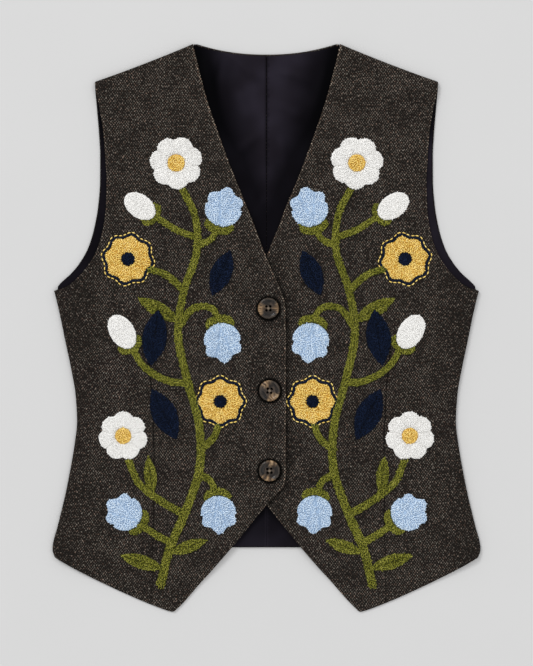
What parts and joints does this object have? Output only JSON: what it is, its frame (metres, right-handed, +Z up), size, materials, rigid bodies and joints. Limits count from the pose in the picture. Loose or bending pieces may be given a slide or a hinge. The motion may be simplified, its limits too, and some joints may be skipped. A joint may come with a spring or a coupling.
{
  "type": "waistcoat",
  "caption": "Sleeveless V-neck tweed waistcoat with pointed front hem, satin-lined back and looped flower embroidery, buttoned and laid flat.",
  "frame": {"origin": "on the surface the garment lies on, under the middle of its outline", "axes": "+X towards the wearer's left, +Y from hem to neck, +Z up out of the surface, so the front faces up"},
  "size_m": [0.4366, 0.5794, 0.0117],
  "materials": {
    "tweed": "woven wool birdseye tweed, dark brown-grey with fine light flecks, matt",
    "lining": "blue-black satin lining with a soft sheen",
    "horn": "dark streaked horn, polished, four holes, dished",
    "yarn_green": "olive wool yarn, looped pile",
    "yarn_blue": "pale blue wool yarn, looped pile",
    "yarn_white": "white wool yarn, dense looped pile",
    "yarn_yellow": "golden yellow wool yarn, looped pile",
    "yarn_navy": "navy wool yarn, dense looped pile and couched cord"
  },
  "bodies": {
    "root": {"back": "tweed", "lining_right": "lining", "lining_left": "lining", "front_right": "tweed", "front_left": "tweed", "vine_right": "yarn_green", "daisy_top_right": "yarn_white", "daisy_side_right": "yarn_white", "rosette_side_right": "yarn_yellow", "rosette_inner_right": "yarn_yellow", "tulip_neck_right": "yarn_blue", "tulip_waist_right": "yarn_blue", "tulip_hem_right": "yarn_blue", "tulip_side_right": "yarn_blue", "bud_side_right": "yarn_white", "bud_shoulder_right": "yarn_white", "leaf_bust_right": "yarn_navy", "leaf_waist_right": "yarn_navy", "leaf_chest_right": "yarn_navy", "vine_left": "yarn_green", "daisy_top_left": "yarn_white", "daisy_side_left": "yarn_white", "rosette_side_left": "yarn_yellow", "rosette_inner_left": "yarn_yellow", "tulip_neck_left": "yarn_blue", "tulip_waist_left": "yarn_blue", "tulip_hem_left": "yarn_blue", "tulip_side_left": "yarn_blue", "bud_side_left": "yarn_white", "bud_shoulder_left": "yarn_white", "leaf_bust_left": "yarn_navy", "leaf_waist_left": "yarn_navy", "leaf_chest_left": "yarn_navy", "button_top": "horn", "button_middle": "horn", "button_bottom": "horn"}
  },
  "joints": []
}
